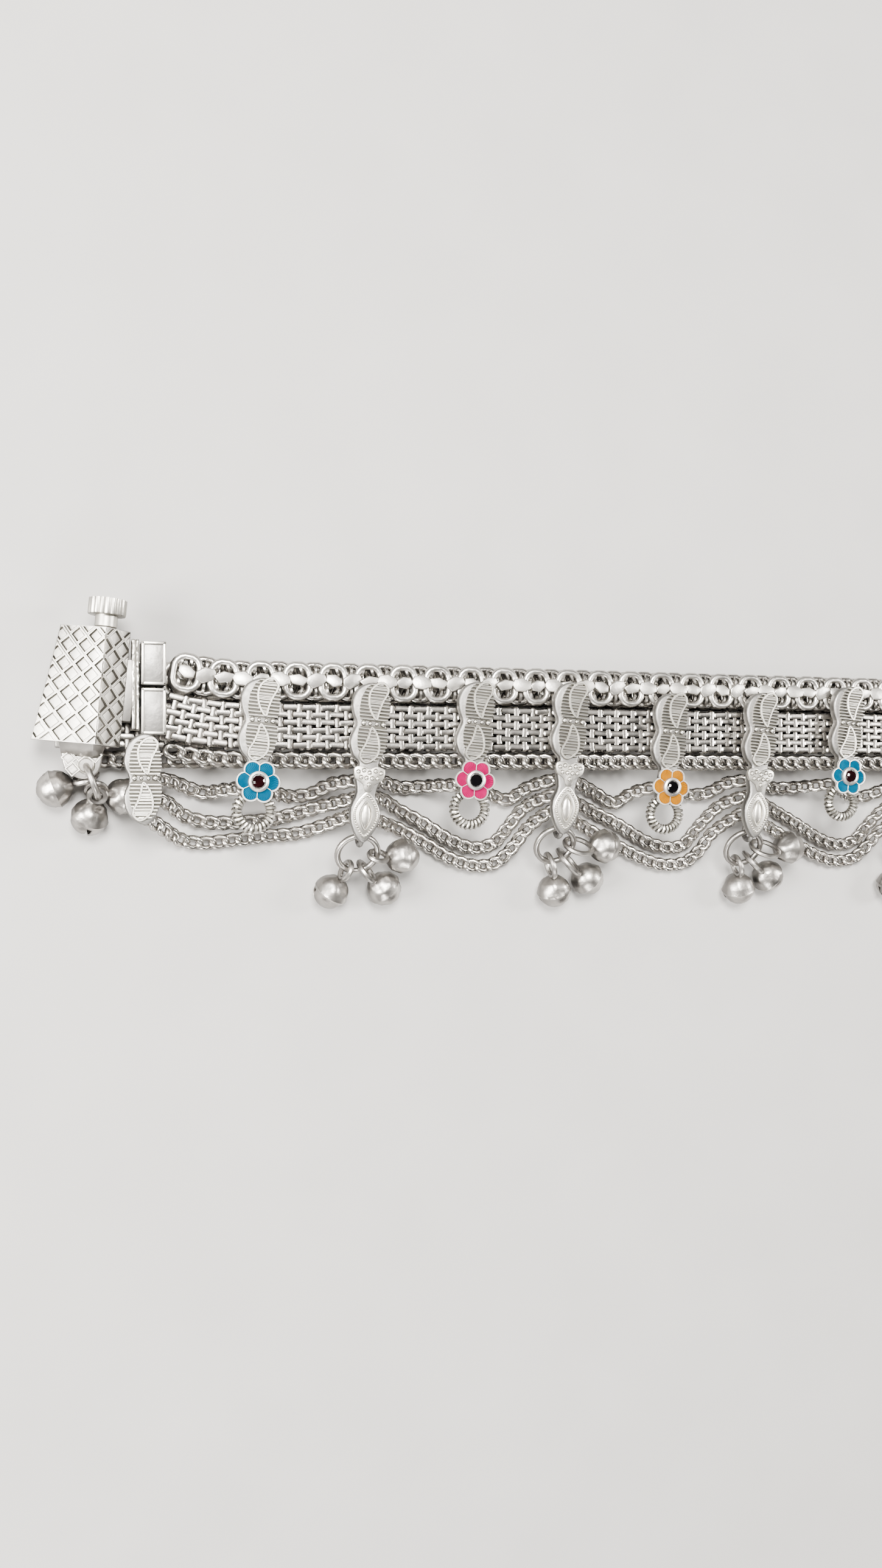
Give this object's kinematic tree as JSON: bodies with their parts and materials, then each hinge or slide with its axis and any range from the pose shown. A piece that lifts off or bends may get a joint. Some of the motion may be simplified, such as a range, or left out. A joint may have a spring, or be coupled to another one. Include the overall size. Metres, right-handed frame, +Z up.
{
  "type": "payal anklet",
  "caption": "Wide silver payal anklet, closed and laid flat: woven band between chains, ornament plates with enamelled flowers, swags of chain, bells and a screw clasp.",
  "frame": {"origin": "middle of the anklet's box, on the surface that it lies on", "axes": "+X along the band from the clasp towards the fold, -Y towards the bells, +Z up, out of the decorated face"},
  "size_m": [0.1494, 0.0446, 0.0121],
  "materials": {
    "silver": "bright frosted silver, darker in its recesses",
    "bell_silver": "duller grey silver",
    "enamel_blue": "glossy translucent blue enamel",
    "enamel_pink": "glossy hot pink enamel",
    "enamel_orange": "glossy orange enamel",
    "stone_garnet": "faceted dark red stone",
    "stone_black": "faceted black stone"
  },
  "bodies": {
    "anklet": {"heavy_chain": "silver", "woven_band": "silver", "edge_chain": "silver", "swag_upper": "silver", "swag_middle": "silver", "swag_lower": "silver", "flower_plate_1": "silver", "flower_1": "enamel_blue", "stone_1": "stone_garnet", "bell_plate_2": "silver", "flower_plate_3": "silver", "flower_3": "enamel_pink", "stone_3": "stone_black", "bell_plate_4": "silver", "flower_plate_5": "silver", "flower_5": "enamel_orange", "stone_5": "stone_black", "bell_plate_6": "silver", "flower_plate_7": "silver", "flower_7": "enamel_blue", "stone_7": "stone_garnet", "bell_plate_8": "silver", "drop_2_ring": "silver", "drop_2_bell_1": "bell_silver", "drop_2_bell_2": "bell_silver", "drop_2_bell_3": "bell_silver", "drop_4_ring": "silver", "drop_4_bell_1": "bell_silver", "drop_4_bell_2": "bell_silver", "drop_4_bell_3": "bell_silver", "drop_6_ring": "silver", "drop_6_bell_1": "bell_silver", "drop_6_bell_2": "bell_silver", "drop_6_bell_3": "bell_silver", "drop_8_ring": "silver", "drop_8_bell_1": "bell_silver", "drop_8_bell_2": "bell_silver", "drop_8_bell_3": "bell_silver", "cross_bar_1": "silver", "cross_bar_2": "silver", "cross_bar_3": "silver", "cross_bar_4": "silver", "cross_bar_5": "silver", "cross_bar_6": "silver", "cross_bar_7": "silver", "cross_bar_8": "silver", "clasp_cover": "silver", "clasp_tongue": "silver", "end_cap_upper": "silver", "end_cap_lower": "silver", "leaf_plate": "silver", "clasp_ring": "silver", "clasp_bell_1": "bell_silver", "clasp_bell_2": "bell_silver", "clasp_bell_3": "bell_silver"},
    "screw": {"clasp_screw": "silver"}
  },
  "joints": [
    {"name": "screw_turn", "type": "hinge", "parent": "anklet", "child": "screw", "pos_m": [-0.06568, 0.01134, 0.0068], "axis": [0.0924, 0.9957, 0], "continuous": true}
  ]
}
